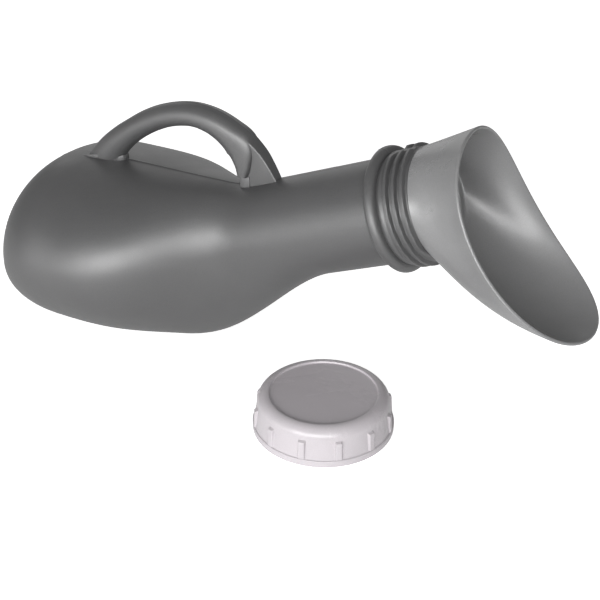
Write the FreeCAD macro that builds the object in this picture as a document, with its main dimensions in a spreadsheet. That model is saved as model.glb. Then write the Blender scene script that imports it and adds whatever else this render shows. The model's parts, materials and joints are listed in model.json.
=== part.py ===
import FreeCAD, Part
import math
import os
import re

import Sketcher
from FreeCAD import Placement, Rotation, Vector

# Portable urine bottle: a hollow blown bottle with its handle, a push-in scoop adapter, a screw cap and the
# cap's sealing disc. Millimetres. The origin is the middle of the flat base, +X points towards the mouth
# and +Z up. The neck leans up by neck_tilt; the cap stands on the same ground in front of the bottle.

SIZES = {
    "wall": 2.0,
    # outside of the bottle, stations along X from the tail to the neck
    "tail_x": -80.8,
    "tail_height": 32.0,
    "widest_x": -33.0,
    "half_width": 65.0,
    "mid_height": 42.5,
    "top_height": 88.0,
    "base_sink": 2.2,
    "rise_start_x": 27.0,
    "rise_end_x": 109.0,
    "waist_x": 58.0,
    "waist_end_x": 66.0,
    # neck and its finish, measured along the neck axis back from the lip
    "neck_tilt": 22.0,
    "lip_x": 158.0,
    "lip_height": 102.0,
    "neck_radius": 25.3,
    "neck_length": 50.0,
    "neck_wall": 3.0,
    "bore_radius": 23.1,
    "bore_depth": 24.0,
    "finish_radius": 26.6,
    "lip_chamfer": 0.8,
    "bead_radius": 30.1,
    "bead_back": 19.2,
    "bead_width": 6.6,
    "thread_radius": 28.5,
    "thread_lead": 4.3,
    "thread_start": 13.75,
    "thread_run": 11.7,
    "thread_width": 2.6,
    # handle
    "handle_wall": 2.2,
    "fin_thickness": 6.4,
    "collar_top": 91.2,
    "collar_base": 80.0,
    # scoop adapter
    "seat_gap": 0.1,
    "shoulder_radius": 26.6,
    "scoop_wall": 1.5,
    "scoop_floor": 2.0,
    "throat_radius": 18.5,
    "spigot_radius": 21.2,
    "spigot_length": 20.0,
    "spigot_rib_radius": 23.05,
    "spigot_rib_pitch": 6.0,
    "spigot_rib_width": 1.6,
    "rim_tilt": 37.2,
    "rim_length": 107.8,
    "rim_half_width": 41.3,
    "rim_bow": 11.5,
    "rim_top_ahead": 14.9,
    "rim_top_above": 38.5,
    "foot_bulge": 7.2,
    "side_hollow": 5.5,
    # screw cap and sealing disc
    "cap_x": 128.0,
    "cap_y": -52.0,
    "cap_radius": 33.0,
    "cap_top_radius": 31.6,
    "cap_turn": 10.1,
    "cap_tall": 18.7,
    "cap_round": 5.2,
    "cap_top": 2.1,
    "cap_bore_radius": 29.2,
    "cap_recess_radius": 25.8,
    "cap_recess": 0.9,
    "cap_foot_height": 3.4,
    "cap_foot_radius": 33.8,
    "cap_rib_count": 12.0,
    "cap_rib_width": 3.0,
    "cap_rib_height": 13.0,
    "cap_thread_radius": 27.6,
    "cap_thread_start": 2.6,
    "cap_thread_run": 7.6,
    "cap_bead_radius": 28.6,
    "liner_radius": 29.0,
    "liner_thickness": 1.6,
    "liner_bottom": 14.05,
    "liner_gap": 0.05,
}


def make_sheet(doc):
    """Puts each driving dimension in a spreadsheet cell that has the dimension's name as its alias."""
    sheet = doc.addObject("Spreadsheet::Sheet", "Sizes")
    for row, (name, value) in enumerate(SIZES.items(), start=1):
        cell = f"A{row}"
        sheet.set(cell, str(value))
        sheet.setAlias(cell, name)
    doc.recompute()
    return sheet


doc = FreeCAD.newDocument("urine_bottle")
sheet = make_sheet(doc)
neck_axis = Vector(math.cos(math.radians(sheet.neck_tilt)), 0, math.sin(math.radians(sheet.neck_tilt)))
neck_slope = math.tan(math.radians(sheet.neck_tilt))
lip_centre = Vector(sheet.lip_x, 0, sheet.lip_height)


# ---- expressions, sketches and features -------------------------------------------------------------------


def size(expression):
    """The present value in mm or degrees of an expression written in the sheet's names."""
    return float(sheet.evalExpression(expression))


def drive(thing, prop, expression):
    """Binds a property to an expression of the sheet's cells."""
    cells = re.sub("[a-z_]+", lambda word: f"Sizes.{word[0]}" if word[0] in SIZES else word[0], expression)
    thing.setExpression(prop, cells)


def new_body(name):
    body = doc.addObject("PartDesign::Body", name)
    body.Label = name
    return body


def new_sketch(body, name, role, offset=None):
    """A sketch on one of the body's own origin planes, moved and turned within it by the offset."""
    sketch = body.newObject("Sketcher::SketchObject", name)
    plane = next(feature for feature in body.Origin.OriginFeatures if feature.Role == role)
    sketch.AttachmentSupport = [(plane, "")]
    sketch.MapMode = "FlatFace"
    if offset is not None:
        sketch.AttachmentOffset = offset
    return sketch


def cross_sketch(body, name, centre, tilt):
    """A sketch across the symmetry plane: its x is +Y and its normal leans up from +X by the tilt."""
    turn = Rotation(Vector(1, 0, 0), -tilt)
    return new_sketch(body, name, "YZ_Plane", Placement(Vector(0, centre.z, centre.x), turn))


def neck_sketch(body, name):
    """A sketch in the symmetry plane: x is the distance from the neck axis, y runs along it from the lip."""
    sketch = new_sketch(body, name, "XZ_Plane")
    sketch.AttachmentOffset = Placement(Vector(), Rotation(Vector(0, 0, 1), sheet.neck_tilt - 90))
    drive(sketch, "AttachmentOffset.Base.x", "lip_x")
    drive(sketch, "AttachmentOffset.Base.y", "lip_height")
    drive(sketch, "AttachmentOffset.Rotation.Angle", "neck_tilt - 90")
    return sketch


def pin_point(sketch, geometry, end, across, along):
    """Fixes one end of a sketch edge at a place written in expressions."""
    for kind, expression in (("DistanceX", across), ("DistanceY", along)):
        constraint = Sketcher.Constraint(kind, -1, 1, geometry, end, size(expression))
        drive(sketch, f"Constraints[{sketch.addConstraint(constraint)}]", expression)


def closed_line(sketch, points):
    """A closed outline of straight edges through the points."""
    for start, end in zip(points, points[1:] + points[:1]):
        sketch.addGeometry(Part.LineSegment(start, end))
    for index in range(len(points)):
        following = (index + 1) % len(points)
        sketch.addConstraint(Sketcher.Constraint("Coincident", index, 2, following, 1))
    return sketch


def outline(sketch, corners):
    """A closed outline of straight edges whose corners stand where their expressions say."""
    closed_line(sketch, [Vector(size(across), size(along), 0) for across, along in corners])
    for index, (across, along) in enumerate(corners):
        pin_point(sketch, index, 1, across, along)
    return sketch


def closed_edge(sketch, curve, corners):
    """A closed outline made of a curve and straight edges from its end through the corners to its start."""
    sketch.addGeometry(curve)
    ends = [curve.EndPoint, *corners, curve.StartPoint]
    for start, end in zip(ends, ends[1:]):
        sketch.addGeometry(Part.LineSegment(start, end))
    count = len(ends)
    for index in range(count):
        sketch.addConstraint(Sketcher.Constraint("Coincident", index, 2, (index + 1) % count, 1))
    return sketch


def half_ellipses(sketch, half_width, above, below):
    """An oval about the sketch's origin: an upper and a lower half ellipse that meet on its x axis."""
    for height, turned in ((above, 0.0), (below, math.pi)):
        if half_width >= height:
            ellipse = Part.Ellipse(Vector(), half_width, height)
            start = turned
        else:
            ellipse = Part.Ellipse(Vector(0, height, 0), Vector(-half_width, 0, 0), Vector())
            start = turned - math.pi / 2
        sketch.addGeometry(Part.ArcOfEllipse(ellipse, start, start + math.pi))
    sketch.addConstraint(Sketcher.Constraint("Coincident", 0, 2, 1, 1))
    sketch.addConstraint(Sketcher.Constraint("Coincident", 1, 2, 0, 1))
    return sketch


def feature(body, kind, name, profile, **settings):
    """A PartDesign feature of the body from a profile sketch, hidden sketches and all, set up by name."""
    made = body.newObject(f"PartDesign::{kind}", name)
    made.Profile = profile
    for prop, value in settings.items():
        setattr(made, prop, value)
    return made


def revolve(body, kind, name, sketch):
    """A full turn of a profile about its sketch's y axis."""
    return feature(body, kind, name, sketch, ReferenceAxis=(sketch, ["V_Axis"]), Angle=360.0)


def round_circles(body, name, edge_radius, fillet_radius):
    """Rounds the circular edges of the given radius on the body's latest feature."""
    doc.recompute()
    tip = body.Tip
    names = [
        f"Edge{index}"
        for index, edge in enumerate(tip.Shape.Edges, start=1)
        if isinstance(edge.Curve, Part.Circle) and abs(edge.Curve.Radius - edge_radius) < 1e-4
    ]
    fillet = body.newObject("PartDesign::Fillet", name)
    fillet.Base = (tip, names)
    drive(fillet, "Radius", fillet_radius)
    return fillet


def loft(body, kind, name, sketches):
    return feature(body, kind, name, sketches[0], Sections=sketches[1:], Ruled=False, Refine=False)


# ---- bottle -----------------------------------------------------------------------------------------------

# How full the outline's round tail is in plan, on top and below: 2 is an ellipse, more is squarer.
TAIL_PLAN = 2.4
TAIL_TOP = 2.5
TAIL_UNDER = 2.3
# How late the sides draw in towards the neck, and how softly the top line turns up into it.
WAIST_LATENESS = 1.36
TOP_TURN = 2.5
# Sections of the tail as shares of the way from the widest section to the tip, closer where it rounds off.
TAIL_SECTIONS = (0.9996, 0.985, 0.94, 0.85, 0.7, 0.5, 0.25)
FRONT_SECTIONS = 11
# The handle's sections along its centre line: station x and z, half depth and half breadth.
HANDLE = (
    (-37.5, 79.0, 9.0, 6.8),
    (-29.3, 90.0, 8.1, 6.5),
    (-20.7, 98.9, 6.9, 6.5),
    (-11.7, 106.0, 6.1, 6.7),
    (-2.0, 112.2, 6.0, 6.9),
    (8.2, 117.0, 6.0, 7.0),
    (18.5, 120.0, 6.0, 7.0),
    (28.3, 121.0, 6.1, 7.0),
    (38.4, 119.3, 6.6, 7.0),
    (47.2, 115.3, 7.2, 6.8),
    (53.6, 109.4, 7.9, 6.5),
    (56.2, 101.6, 5.0, 6.2),
    (56.4, 95.0, 3.6, 6.0),
    (56.5, 84.0, 3.6, 5.4),
)
# The handle's hollow stops after this many sections: its front leg is solid.
HANDLE_HOLLOW_SECTIONS = 10
# The outer edge of the fin that fills the handle's front corner, and the corners behind it.
FIN_EDGE = (
    (45, 119.3), (51.3, 119.6), (59.4, 114.8), (66.2, 108.8), (70.5, 103.1), (74.5, 96.5), (77.8, 89.5),
)
FIN_BACK = ((72, 84), (57, 84), (57, 104), (45, 113))
# One side of the collar round the handle's rear root as x and half breadth, and the line of its top.
COLLAR_SIDE = (
    (-47, 7.0), (-42, 8.0), (-36, 7.3), (-30, 6.0), (-25, 5.2), (-21.5, 4.2), (-19, 2.6), (-18, 0.9),
)
COLLAR_TOP = ((-60, 87.4), (-46.5, 87.4), (-36, 90.4), (-25, 91.2))


def ease(share):
    return share * share * (3 - 2 * share)


def dome(share, fullness):
    return (1 - share**fullness) ** (1 / fullness)


def smooth_step(share):
    """A step that is level and straight at both ends."""
    return share**3 * (share * (share * 6 - 15) + 10)


def hermite(share, low, high, end_slope):
    """A cubic from low, where it is level, to high, with its slope there given over the whole span."""
    square = share * share
    cube = square * share
    return low + (high - low) * (3 * square - 2 * cube) + end_slope * (cube - square)


def axis_height(x):
    """The height of the neck axis at a station."""
    return sheet.lip_height + (x - sheet.lip_x) * neck_slope


class Skin:
    """The bottle's outside, or with an inset the hollow's wall, as outlines over the station x."""

    def __init__(self, inset, neck_radius, floor):
        self.tail_x = sheet.tail_x + inset
        self.half_width = sheet.half_width - inset
        self.top_height = sheet.top_height - inset
        self.neck_radius = neck_radius
        self.neck_reach = neck_radius / math.cos(math.radians(sheet.neck_tilt))
        self.floor = floor

    def tail_share(self, x):
        return min(max((sheet.widest_x - x) / (sheet.widest_x - self.tail_x), 0), 1)

    def middle(self, x):
        """The height of the widest line, which bends up from the body into the neck's axis."""
        if x < sheet.widest_x:
            return sheet.mid_height + (sheet.tail_height - sheet.mid_height) * self.tail_share(x) ** 2
        if x > sheet.waist_x:
            return axis_height(x)
        span = sheet.waist_x - sheet.widest_x
        share = (x - sheet.widest_x) / span
        return hermite(share, sheet.mid_height, axis_height(sheet.waist_x), neck_slope * span)

    def top(self, x):
        neck_top = axis_height(x) + self.neck_reach
        gap = self.top_height - neck_top
        line = (self.top_height + neck_top + math.hypot(gap, TOP_TURN)) / 2
        middle = self.middle(x)
        return middle + (line - middle) * dome(self.tail_share(x), TAIL_TOP)

    def bottom(self, x):
        if x > sheet.rise_end_x:
            return axis_height(x) - self.neck_reach
        span = sheet.rise_end_x - sheet.rise_start_x
        share = max((x - sheet.rise_start_x) / span, 0)
        line = hermite(share, self.floor, axis_height(sheet.rise_end_x) - self.neck_reach, neck_slope * span)
        middle = self.middle(x)
        return middle - (middle - line) * dome(self.tail_share(x), TAIL_UNDER)

    def side(self, x):
        if x < sheet.widest_x:
            return self.half_width * dome(self.tail_share(x), TAIL_PLAN)
        share = min((x - sheet.widest_x) / (sheet.waist_end_x - sheet.widest_x), 1)
        return self.half_width + (self.neck_radius - self.half_width) * smooth_step(share**WAIST_LATENESS)

    def section(self, x):
        """Centre, tilt, half width and heights above and below of the section that crosses the sides at x."""
        span = sheet.rise_end_x - sheet.rise_start_x
        tilt = sheet.neck_tilt * ease(min(max((x - sheet.rise_start_x) / span, 0), 1))
        lean = math.sin(math.radians(tilt))
        rise = math.cos(math.radians(tilt))
        pivot = self.middle(x)
        above = below = 0
        for _ in range(30):
            above = (self.top(x - above * lean) - pivot) / rise
            below = (pivot - self.bottom(x + below * lean)) / rise
        return Vector(x, 0, pivot), tilt, self.side(x), above, below

    def sketches(self, body, name):
        """Sketches of the sections from the tail to the neck's round tube, which ends inside the bead."""
        ends = [lip_centre - neck_axis * back for back in (sheet.neck_length, sheet.bead_back)]
        ends.insert(1, (ends[0] + ends[1]) / 2)
        step = (ends[0].x - sheet.widest_x) / FRONT_SECTIONS
        stations = [sheet.widest_x - share * (sheet.widest_x - self.tail_x) for share in TAIL_SECTIONS]
        stations += [sheet.widest_x + index * step for index in range(FRONT_SECTIONS)]
        sections = [self.section(x) for x in stations]
        sections += [(end, sheet.neck_tilt, *[self.neck_radius] * 3) for end in ends]
        return [
            half_ellipses(cross_sketch(body, f"{name}_{index}", centre, tilt), *distances)
            for index, (centre, tilt, *distances) in enumerate(sections)
        ]


def flat_base(body):
    """Cuts the rounded underside off level with the ground, which leaves the flat base."""
    sketch = new_sketch(body, "base_cut", "XZ_Plane")
    below = "-4 * base_sink"
    outline(sketch, [("tail_x", "0"), ("lip_x", "0"), ("lip_x", below), ("tail_x", below)])
    return feature(body, "Pocket", "flat_base", sketch, Type="ThroughAll", Midplane=True)


def collar(body):
    """The raised collar that the handle's rear root stands on, sloping into the body behind it."""
    plan = new_sketch(body, "collar_plan", "XY_Plane", Placement(Vector(0, 0, sheet.collar_base), Rotation()))
    side = [Vector(x, breadth, 0) for x, breadth in COLLAR_SIDE]
    other = [Vector(x, -breadth, 0) for x, breadth in reversed(COLLAR_SIDE)]
    closed_line(plan, side + other)
    pad = feature(body, "Pad", "collar", plan, Refine=False)
    drive(pad, "Length", "collar_top - collar_base")
    slope = new_sketch(body, "collar_slope", "XZ_Plane")
    line = [Vector(x, z, 0) for x, z in COLLAR_TOP]
    above = sheet.collar_top + 1
    closed_line(slope, [*line, Vector(line[-1].x, above, 0), Vector(line[0].x, above, 0)])
    feature(body, "Pocket", "collar_cut", slope, Type="ThroughAll", Midplane=True)


def handle_sketches(body, name, rows, inset):
    """Oval sections across the handle's centre line, each square to the line between its neighbours."""
    sketches = []
    for index, (x, z, depth, breadth) in enumerate(rows):
        before = rows[max(index - 1, 0)]
        after = rows[min(index + 1, len(rows) - 1)]
        tilt = math.degrees(math.atan2(after[1] - before[1], after[0] - before[0]))
        sketch = cross_sketch(body, f"{name}_{index}", Vector(x, 0, z), tilt)
        sketches.append(half_ellipses(sketch, breadth - inset, depth - inset, depth - inset))
    return sketches


def handle(body):
    """The tubular handle, and the fin that fills its front corner."""
    loft(body, "AdditiveLoft", "handle", handle_sketches(body, "handle_section", HANDLE, 0))
    sketch = new_sketch(body, "fin_outline", "XZ_Plane")
    edge = Part.BSplineCurve()
    edge.interpolate([Vector(x, z, 0) for x, z in FIN_EDGE])
    closed_edge(sketch, edge, [Vector(x, z, 0) for x, z in FIN_BACK])
    pad = feature(body, "Pad", "fin", sketch, Midplane=True, Refine=False)
    drive(pad, "Length", "fin_thickness")


def handle_hollow(body):
    rows = HANDLE[:HANDLE_HOLLOW_SECTIONS]
    sketches = handle_sketches(body, "bore_section", rows, sheet.handle_wall)
    loft(body, "SubtractiveLoft", "handle_bore", sketches)


def neck_finish(body):
    """The neck's thicker threaded end, still solid, and the bead behind the thread."""
    tube = neck_sketch(body, "finish_profile")
    outline(tube, [
        ("0", "-bead_back - bead_width / 2"),
        ("bead_radius", "-bead_back - bead_width / 2"),
        ("bead_radius", "-bead_back + bead_width / 2"),
        ("finish_radius", "-bead_back + bead_width / 2"),
        ("finish_radius", "-lip_chamfer"),
        ("finish_radius - lip_chamfer", "0"),
        ("0", "0"),
    ])
    revolve(body, "Revolution", "finish", tube)
    round_circles(body, "bead_round", sheet.bead_radius, "bead_width / 2 - 0.1")
    ridge = neck_sketch(body, "thread_profile")
    outline(ridge, [
        ("finish_radius - 0.5", "-thread_start - thread_width / 2"),
        ("thread_radius", "-thread_start - thread_width / 6"),
        ("thread_radius", "-thread_start + thread_width / 6"),
        ("finish_radius - 0.5", "-thread_start + thread_width / 2"),
    ])
    helix = feature(body, "AdditiveHelix", "thread", ridge, ReferenceAxis=(ridge, ["V_Axis"]))
    helix.Mode = "pitch-height-angle"
    helix.Outside = False
    drive(helix, "Pitch", "thread_lead")
    drive(helix, "Height", "thread_run")


def mouth_bore(body):
    """Opens the mouth through the threaded end into the hollow."""
    bore = neck_sketch(body, "bore_profile")
    outline(bore, [("0", "-bore_depth"), ("bore_radius", "-bore_depth"), ("bore_radius", "1"), ("0", "1")])
    revolve(body, "Groove", "mouth_bore", bore)


def bottle_shell():
    body = new_body("bottle_shell")
    outside = Skin(0, sheet.neck_radius, -sheet.base_sink)
    loft(body, "AdditiveLoft", "outside", outside.sketches(body, "outside_section"))
    flat_base(body)
    collar(body)
    handle(body)
    neck_finish(body)
    hollow = Skin(sheet.wall, sheet.neck_radius - sheet.neck_wall, sheet.wall)
    loft(body, "SubtractiveLoft", "hollow", hollow.sketches(body, "hollow_section"))
    handle_hollow(body)
    mouth_bore(body)
    return body


# ---- scoop adapter ----------------------------------------------------------------------------------------

# The scoop's sections are smooth closed curves through this many points.
RIM_POINTS = 24
# How far the rim's widest place sits from an ellipse's: shares of the half width.
RIM_SKEW = 0.02
RIM_SQUARE = 0.1


def scoop_frame():
    """The rim's top point, the direction down along the rim and the direction out of the scoop."""
    lean = math.radians(sheet.rim_tilt)
    top = lip_centre + Vector(sheet.rim_top_ahead, 0, sheet.rim_top_above)
    down = Vector(math.sin(lean), 0, -math.cos(lean))
    out = Vector(math.cos(lean), 0, math.sin(lean))
    return top, down, out


def rim_point(angle):
    """A point of the rim, saddle-bowed back at its sides: angle 0 is its top and pi its foot."""
    top, down, out = scoop_frame()
    share = (1 - math.cos(angle)) / 2
    across = math.sin(angle) * (1 + RIM_SKEW * math.cos(angle) + RIM_SQUARE * math.cos(2 * angle))
    back = 4 * sheet.rim_bow * share * (1 - share)
    return top + down * (sheet.rim_length * share) - out * back + Vector(0, sheet.rim_half_width * across, 0)


def wall_point(angle, share):
    """A point of the scoop's outer wall, which curves from the shoulder at share 0 to the rim at share 1."""
    up = neck_axis.cross(Vector(0, 1, 0))
    radial = up * math.cos(angle) + Vector(0, 1, 0) * math.sin(angle)
    start = lip_centre + neck_axis * sheet.seat_gap + radial * sheet.shoulder_radius
    end = rim_point(angle)
    chord = (end - start).normalize()
    outward = (radial - chord * radial.dot(chord)).normalize()
    bulge = sheet.foot_bulge * (1 - math.cos(angle)) / 2 - sheet.side_hollow * math.sin(angle) ** 2
    bend = (start + end) * 0.5 + outward * (2 * bulge)
    return start * (1 - share) ** 2 + bend * (2 * share * (1 - share)) + end * share**2


def inset_point(angle, share, inset):
    """The wall point moved square to the wall towards the scoop's inside."""
    step = 0.001
    along = wall_point(angle, share + step) - wall_point(angle, share - step)
    around = wall_point(angle + step, share) - wall_point(angle - step, share)
    return wall_point(angle, share) - along.cross(around).normalize() * inset


def crossing(angle, inset, spot, normal):
    """Where the wall at an angle passes through a plane."""
    low, high = -0.1, 1.6
    for _ in range(40):
        share = (low + high) / 2
        place = inset_point(angle, share, inset)
        if (place - spot).dot(normal) < 0:
            low = share
        else:
            high = share
    return place


def wall_section(body, name, spot, tilt, inset):
    """A smooth closed sketch of the scoop's wall where it passes through a plane that leans by the tilt."""
    normal = Vector(math.cos(math.radians(tilt)), 0, math.sin(math.radians(tilt)))
    up = normal.cross(Vector(0, 1, 0))
    sketch = cross_sketch(body, name, spot, tilt)
    points = []
    for index in range(RIM_POINTS):
        place = crossing(math.pi + 2 * math.pi * index / RIM_POINTS, inset, spot, normal)
        points.append(Vector(place.y, (place - spot).dot(up), 0))
    curve = Part.BSplineCurve()
    steps = [index / RIM_POINTS for index in range(RIM_POINTS + 1)]
    curve.interpolate(Points=points, Parameters=steps, PeriodicFlag=True)
    sketch.addGeometry(curve)
    return sketch


def wall_sections(body, name, ahead, inset):
    """The wall's sections from a plane across the neck axis, by one halfway, to the rim's flat plane."""
    top, down, _ = scoop_frame()
    first = lip_centre + neck_axis * ahead
    last = top + down * (sheet.rim_length / 2)
    halfway = (sheet.neck_tilt + sheet.rim_tilt) / 2
    return [
        wall_section(body, f"{name}_ring", first, sheet.neck_tilt, inset),
        wall_section(body, f"{name}_middle", (first + last) * 0.5, halfway, inset),
        wall_section(body, f"{name}_oval", last, sheet.rim_tilt, inset),
    ]


def saddle_cut(body):
    """Cuts the scoop's mouth back along the arc that gives the rim its saddle shape."""
    sketch = new_sketch(body, "saddle_outline", "XZ_Plane")
    top, down, out = scoop_frame()
    half = sheet.rim_length / 2
    radius = (half * half + sheet.rim_bow**2) / (2 * sheet.rim_bow)
    centre = top + down * half + out * (radius - sheet.rim_bow)
    sweep = math.asin((half + 2 * sheet.scoop_wall) / radius)
    middle = math.atan2(-out.z, -out.x)
    whole = Part.Circle(Vector(centre.x, centre.z, 0), Vector(0, 0, 1), radius)
    arc = Part.ArcOfCircle(whole, middle - sweep, middle + sweep)
    apex = centre + out * radius
    closed_edge(sketch, arc, [Vector(apex.x, apex.z, 0)])
    feature(body, "Pocket", "saddle", sketch, Type="ThroughAll", Midplane=True)


def spigot_corners():
    """The spigot's half section: a tube with sealing ribs that fill the neck's bore."""
    inside_floor = "seat_gap + scoop_floor / 2"
    corners = [("throat_radius", inside_floor), ("spigot_radius", inside_floor)]
    for rib in range(3):
        middle = f"-spigot_rib_pitch * {rib + 0.6}"
        corners += [
            ("spigot_radius", f"{middle} + spigot_rib_width"),
            ("spigot_rib_radius", f"{middle} + spigot_rib_width / 2"),
            ("spigot_rib_radius", f"{middle} - spigot_rib_width / 2"),
            ("spigot_radius", f"{middle} - spigot_rib_width"),
        ]
    return corners + [("spigot_radius", "-spigot_length"), ("throat_radius", "-spigot_length")]


def funnel_adapter():
    body = new_body("funnel_adapter")
    seat = sheet.seat_gap
    loft(body, "AdditiveLoft", "scoop", wall_sections(body, "outside", seat, 0))
    inside = wall_sections(body, "inside", seat + sheet.scoop_floor, sheet.scoop_wall)
    loft(body, "SubtractiveLoft", "scoop_hollow", inside)
    saddle_cut(body)
    throat = neck_sketch(body, "throat_profile")
    outline(throat, [("0", "-scoop_floor"), ("throat_radius", "-scoop_floor"),
                     ("throat_radius", "3 * scoop_floor"), ("0", "3 * scoop_floor")])
    revolve(body, "Groove", "throat", throat)
    spigot = neck_sketch(body, "spigot_profile")
    outline(spigot, spigot_corners())
    revolve(body, "Revolution", "spigot", spigot)
    return body


# ---- screw cap and sealing disc ---------------------------------------------------------------------------


def stand_at_cap(body):
    """Moves a body modelled about the cap's own axis to the cap's place on the ground."""
    drive(body, "Placement.Base.x", "cap_x")
    drive(body, "Placement.Base.y", "cap_y")
    body.Placement.Rotation = Rotation(Vector(0, 0, 1), sheet.cap_turn)
    drive(body, "Placement.Rotation.Angle", "cap_turn")
    return body


def screw_cap():
    body = new_body("screw_cap")
    profile = new_sketch(body, "cap_profile", "XZ_Plane")
    outline(profile, [
        ("cap_bore_radius", "0"),
        ("cap_foot_radius", "0"),
        ("cap_foot_radius", "cap_foot_height"),
        ("cap_radius", "cap_foot_height"),
        ("cap_top_radius", "cap_tall"),
        ("cap_recess_radius", "cap_tall"),
        ("cap_recess_radius", "cap_tall - cap_recess"),
        ("0", "cap_tall - cap_recess"),
        ("0", "cap_tall - cap_recess - cap_top"),
        ("cap_bore_radius", "cap_tall - cap_recess - cap_top"),
        ("cap_bore_radius", "liner_bottom - liner_gap"),
        ("cap_bead_radius", "liner_bottom - liner_gap - 0.6"),
        ("cap_bore_radius", "liner_bottom - liner_gap - 1.2"),
    ])
    revolve(body, "Revolution", "cap_shell", profile)
    round_circles(body, "cap_shoulder", sheet.cap_top_radius, "cap_round")
    rib = new_sketch(body, "rib_profile", "XY_Plane")
    outline(rib, [
        ("cap_radius - 1.5", "-cap_rib_width / 2"),
        ("cap_foot_radius", "-cap_rib_width / 2"),
        ("cap_foot_radius", "cap_rib_width / 2"),
        ("cap_radius - 1.5", "cap_rib_width / 2"),
    ])
    pad = feature(body, "Pad", "grip_rib", rib, Refine=False)
    drive(pad, "Length", "cap_rib_height")
    doc.recompute()
    pattern = body.newObject("PartDesign::PolarPattern", "grip_ribs")
    pattern.Originals = [pad]
    pattern.Axis = (rib, ["N_Axis"])
    pattern.Angle = 360
    drive(pattern, "Occurrences", "cap_rib_count")
    body.Tip = pattern
    ridge = new_sketch(body, "cap_thread_profile", "XZ_Plane")
    outline(ridge, [
        ("cap_bore_radius + 0.5", "cap_thread_start - thread_width / 2"),
        ("cap_bore_radius + 0.5", "cap_thread_start + thread_width / 2"),
        ("cap_thread_radius", "cap_thread_start + thread_width / 6"),
        ("cap_thread_radius", "cap_thread_start - thread_width / 6"),
    ])
    helix = feature(body, "AdditiveHelix", "cap_thread", ridge, ReferenceAxis=(ridge, ["V_Axis"]))
    helix.Mode = "pitch-height-angle"
    helix.Outside = False
    drive(helix, "Pitch", "thread_lead")
    drive(helix, "Height", "cap_thread_run")
    return stand_at_cap(body)


def cap_liner():
    body = new_body("cap_liner")
    disc = new_sketch(body, "disc_profile", "XZ_Plane")
    outline(disc, [
        ("0", "liner_bottom"),
        ("liner_radius", "liner_bottom"),
        ("liner_radius", "liner_bottom + liner_thickness"),
        ("0", "liner_bottom + liner_thickness"),
    ])
    revolve(body, "Revolution", "disc", disc)
    return stand_at_cap(body)


# ---- build, test and export -------------------------------------------------------------------------------


def test_document(bodies):
    """Stops if an object failed to compute or a sub-part isn't one sound solid."""
    failed = [item.Name for item in doc.Objects if {"Invalid", "Error"} & set(item.State)]
    if failed:
        raise RuntimeError(f"not computed: {failed}")
    for body in bodies:
        if body.Shape.isNull() or not body.Shape.isValid() or len(body.Shape.Solids) != 1:
            raise RuntimeError(f"{body.Label} isn't one valid solid")


def export(bodies):
    os.makedirs("parts", exist_ok=True)
    for body in bodies:
        body.Shape.exportStep(f"parts/{body.Label}.step")


bodies = [bottle_shell(), funnel_adapter(), screw_cap(), cap_liner()]
doc.recompute()
test_document(bodies)
export(bodies)
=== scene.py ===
import json
import math

import bmesh
import bpy
import numpy as np
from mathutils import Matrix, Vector

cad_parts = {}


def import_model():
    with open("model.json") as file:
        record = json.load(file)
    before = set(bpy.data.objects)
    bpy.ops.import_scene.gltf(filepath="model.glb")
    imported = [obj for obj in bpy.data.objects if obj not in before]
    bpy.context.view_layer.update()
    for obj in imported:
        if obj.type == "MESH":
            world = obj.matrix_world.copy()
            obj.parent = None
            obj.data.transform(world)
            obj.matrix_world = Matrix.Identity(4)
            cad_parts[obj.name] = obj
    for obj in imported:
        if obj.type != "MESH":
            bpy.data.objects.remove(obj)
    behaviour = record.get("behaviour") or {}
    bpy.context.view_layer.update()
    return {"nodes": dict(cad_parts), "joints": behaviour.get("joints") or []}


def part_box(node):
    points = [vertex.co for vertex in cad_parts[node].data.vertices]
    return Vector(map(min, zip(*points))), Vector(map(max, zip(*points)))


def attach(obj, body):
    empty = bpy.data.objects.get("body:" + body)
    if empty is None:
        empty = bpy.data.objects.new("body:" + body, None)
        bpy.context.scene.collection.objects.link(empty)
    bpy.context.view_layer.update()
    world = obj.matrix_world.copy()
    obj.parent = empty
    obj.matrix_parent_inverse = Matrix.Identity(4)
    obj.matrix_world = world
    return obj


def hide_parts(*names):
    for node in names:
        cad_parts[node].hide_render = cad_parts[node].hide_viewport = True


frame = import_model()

# Looks of a portable urine bottle, its scoop adapter, its screw cap and the cap's sealing disc. Shapes are
# built in millimetres in the frame's own axes: the bottle's flat base is round the origin and its mouth
# points to +X.

MM = 0.001
Y_AXIS = np.array([0.0, 1.0, 0.0])

# ---- the frame ---------------------------------------------------------------------------------------------


def joint(name):
    return next(item for item in frame["joints"] if item["name"] == name)


def box(node):
    low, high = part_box(node)
    return np.array(low) / MM, np.array(high) / MM


def node_points(node):
    mesh = frame["nodes"][node].data
    flat = np.zeros(len(mesh.vertices) * 3, np.float32)
    mesh.vertices.foreach_get("co", flat)
    return flat.reshape(-1, 3).astype(float) / MM


def lip_of_neck():
    """The middle of the neck's open end: the foremost ring of the bottle's points along the neck axis."""
    points = node_points("bottle_shell")
    reach = points @ NECK_AXIS
    ring = points[reach > reach.max() - 0.05]
    return (ring.min(0) + ring.max(0)) / 2


NECK_AXIS = np.array(joint("adapter_pull")["axis"], float)
NECK_TILT = math.degrees(math.atan2(NECK_AXIS[2], NECK_AXIS[0]))
NECK_SLOPE = NECK_AXIS[2] / NECK_AXIS[0]
NECK_UP = np.array([-NECK_AXIS[2], 0.0, NECK_AXIS[0]])
LIP = lip_of_neck()
SHELL_LOW, SHELL_HIGH = box("bottle_shell")
CAP_LOW, CAP_HIGH = box("screw_cap")
LINER_LOW, LINER_HIGH = box("cap_liner")
CAP_SPOT = np.array(joint("cap_turn")["pos_m"], float) / MM

# ---- sizes -------------------------------------------------------------------------------------------------

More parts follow.
